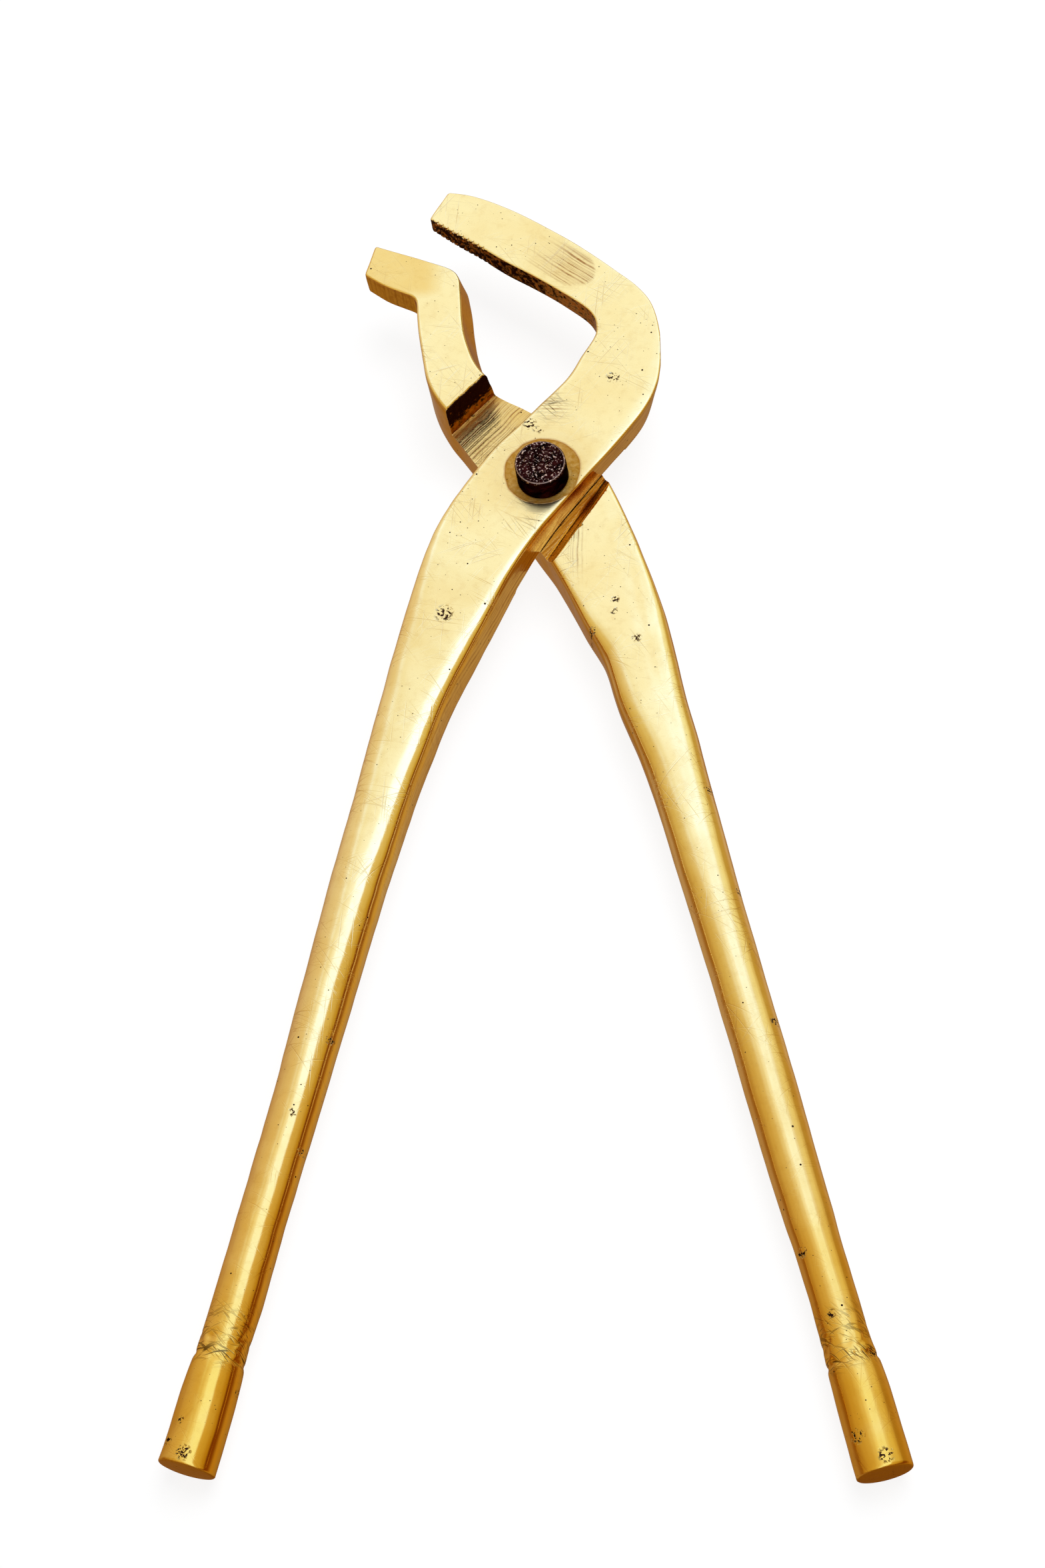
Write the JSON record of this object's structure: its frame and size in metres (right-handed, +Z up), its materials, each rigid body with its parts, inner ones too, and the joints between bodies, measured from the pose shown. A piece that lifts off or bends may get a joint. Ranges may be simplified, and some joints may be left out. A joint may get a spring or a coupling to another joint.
{
  "type": "wick trimmer",
  "caption": "Long-handled brass wick tongs: two cast levers crossing at a riveted lap joint, one with a hooked jaw, the other with a short cranked jaw.",
  "frame": {"origin": "on the rivet's axis at the flat face of its tail, which rests on the table", "axes": "+Y along the tool towards the jaws, midway between the handles; +Z up along the rivet's axis, out of its head; +X towards the hook's bend"},
  "size_m": [0.1497, 0.3043, 0.0286],
  "materials": {
    "brass": "polished, worn",
    "iron": "dark, pitted"
  },
  "bodies": {
    "rear": {"rear_lever": "brass", "pivot_rivet": "iron"},
    "front": {"front_lever": "brass"}
  },
  "joints": [
    {"name": "pivot", "type": "hinge", "parent": "rear", "child": "front", "pos_m": [0, 0, 0.0174], "axis": [0, 0, 1], "range_deg": [-6, 9]}
  ]
}
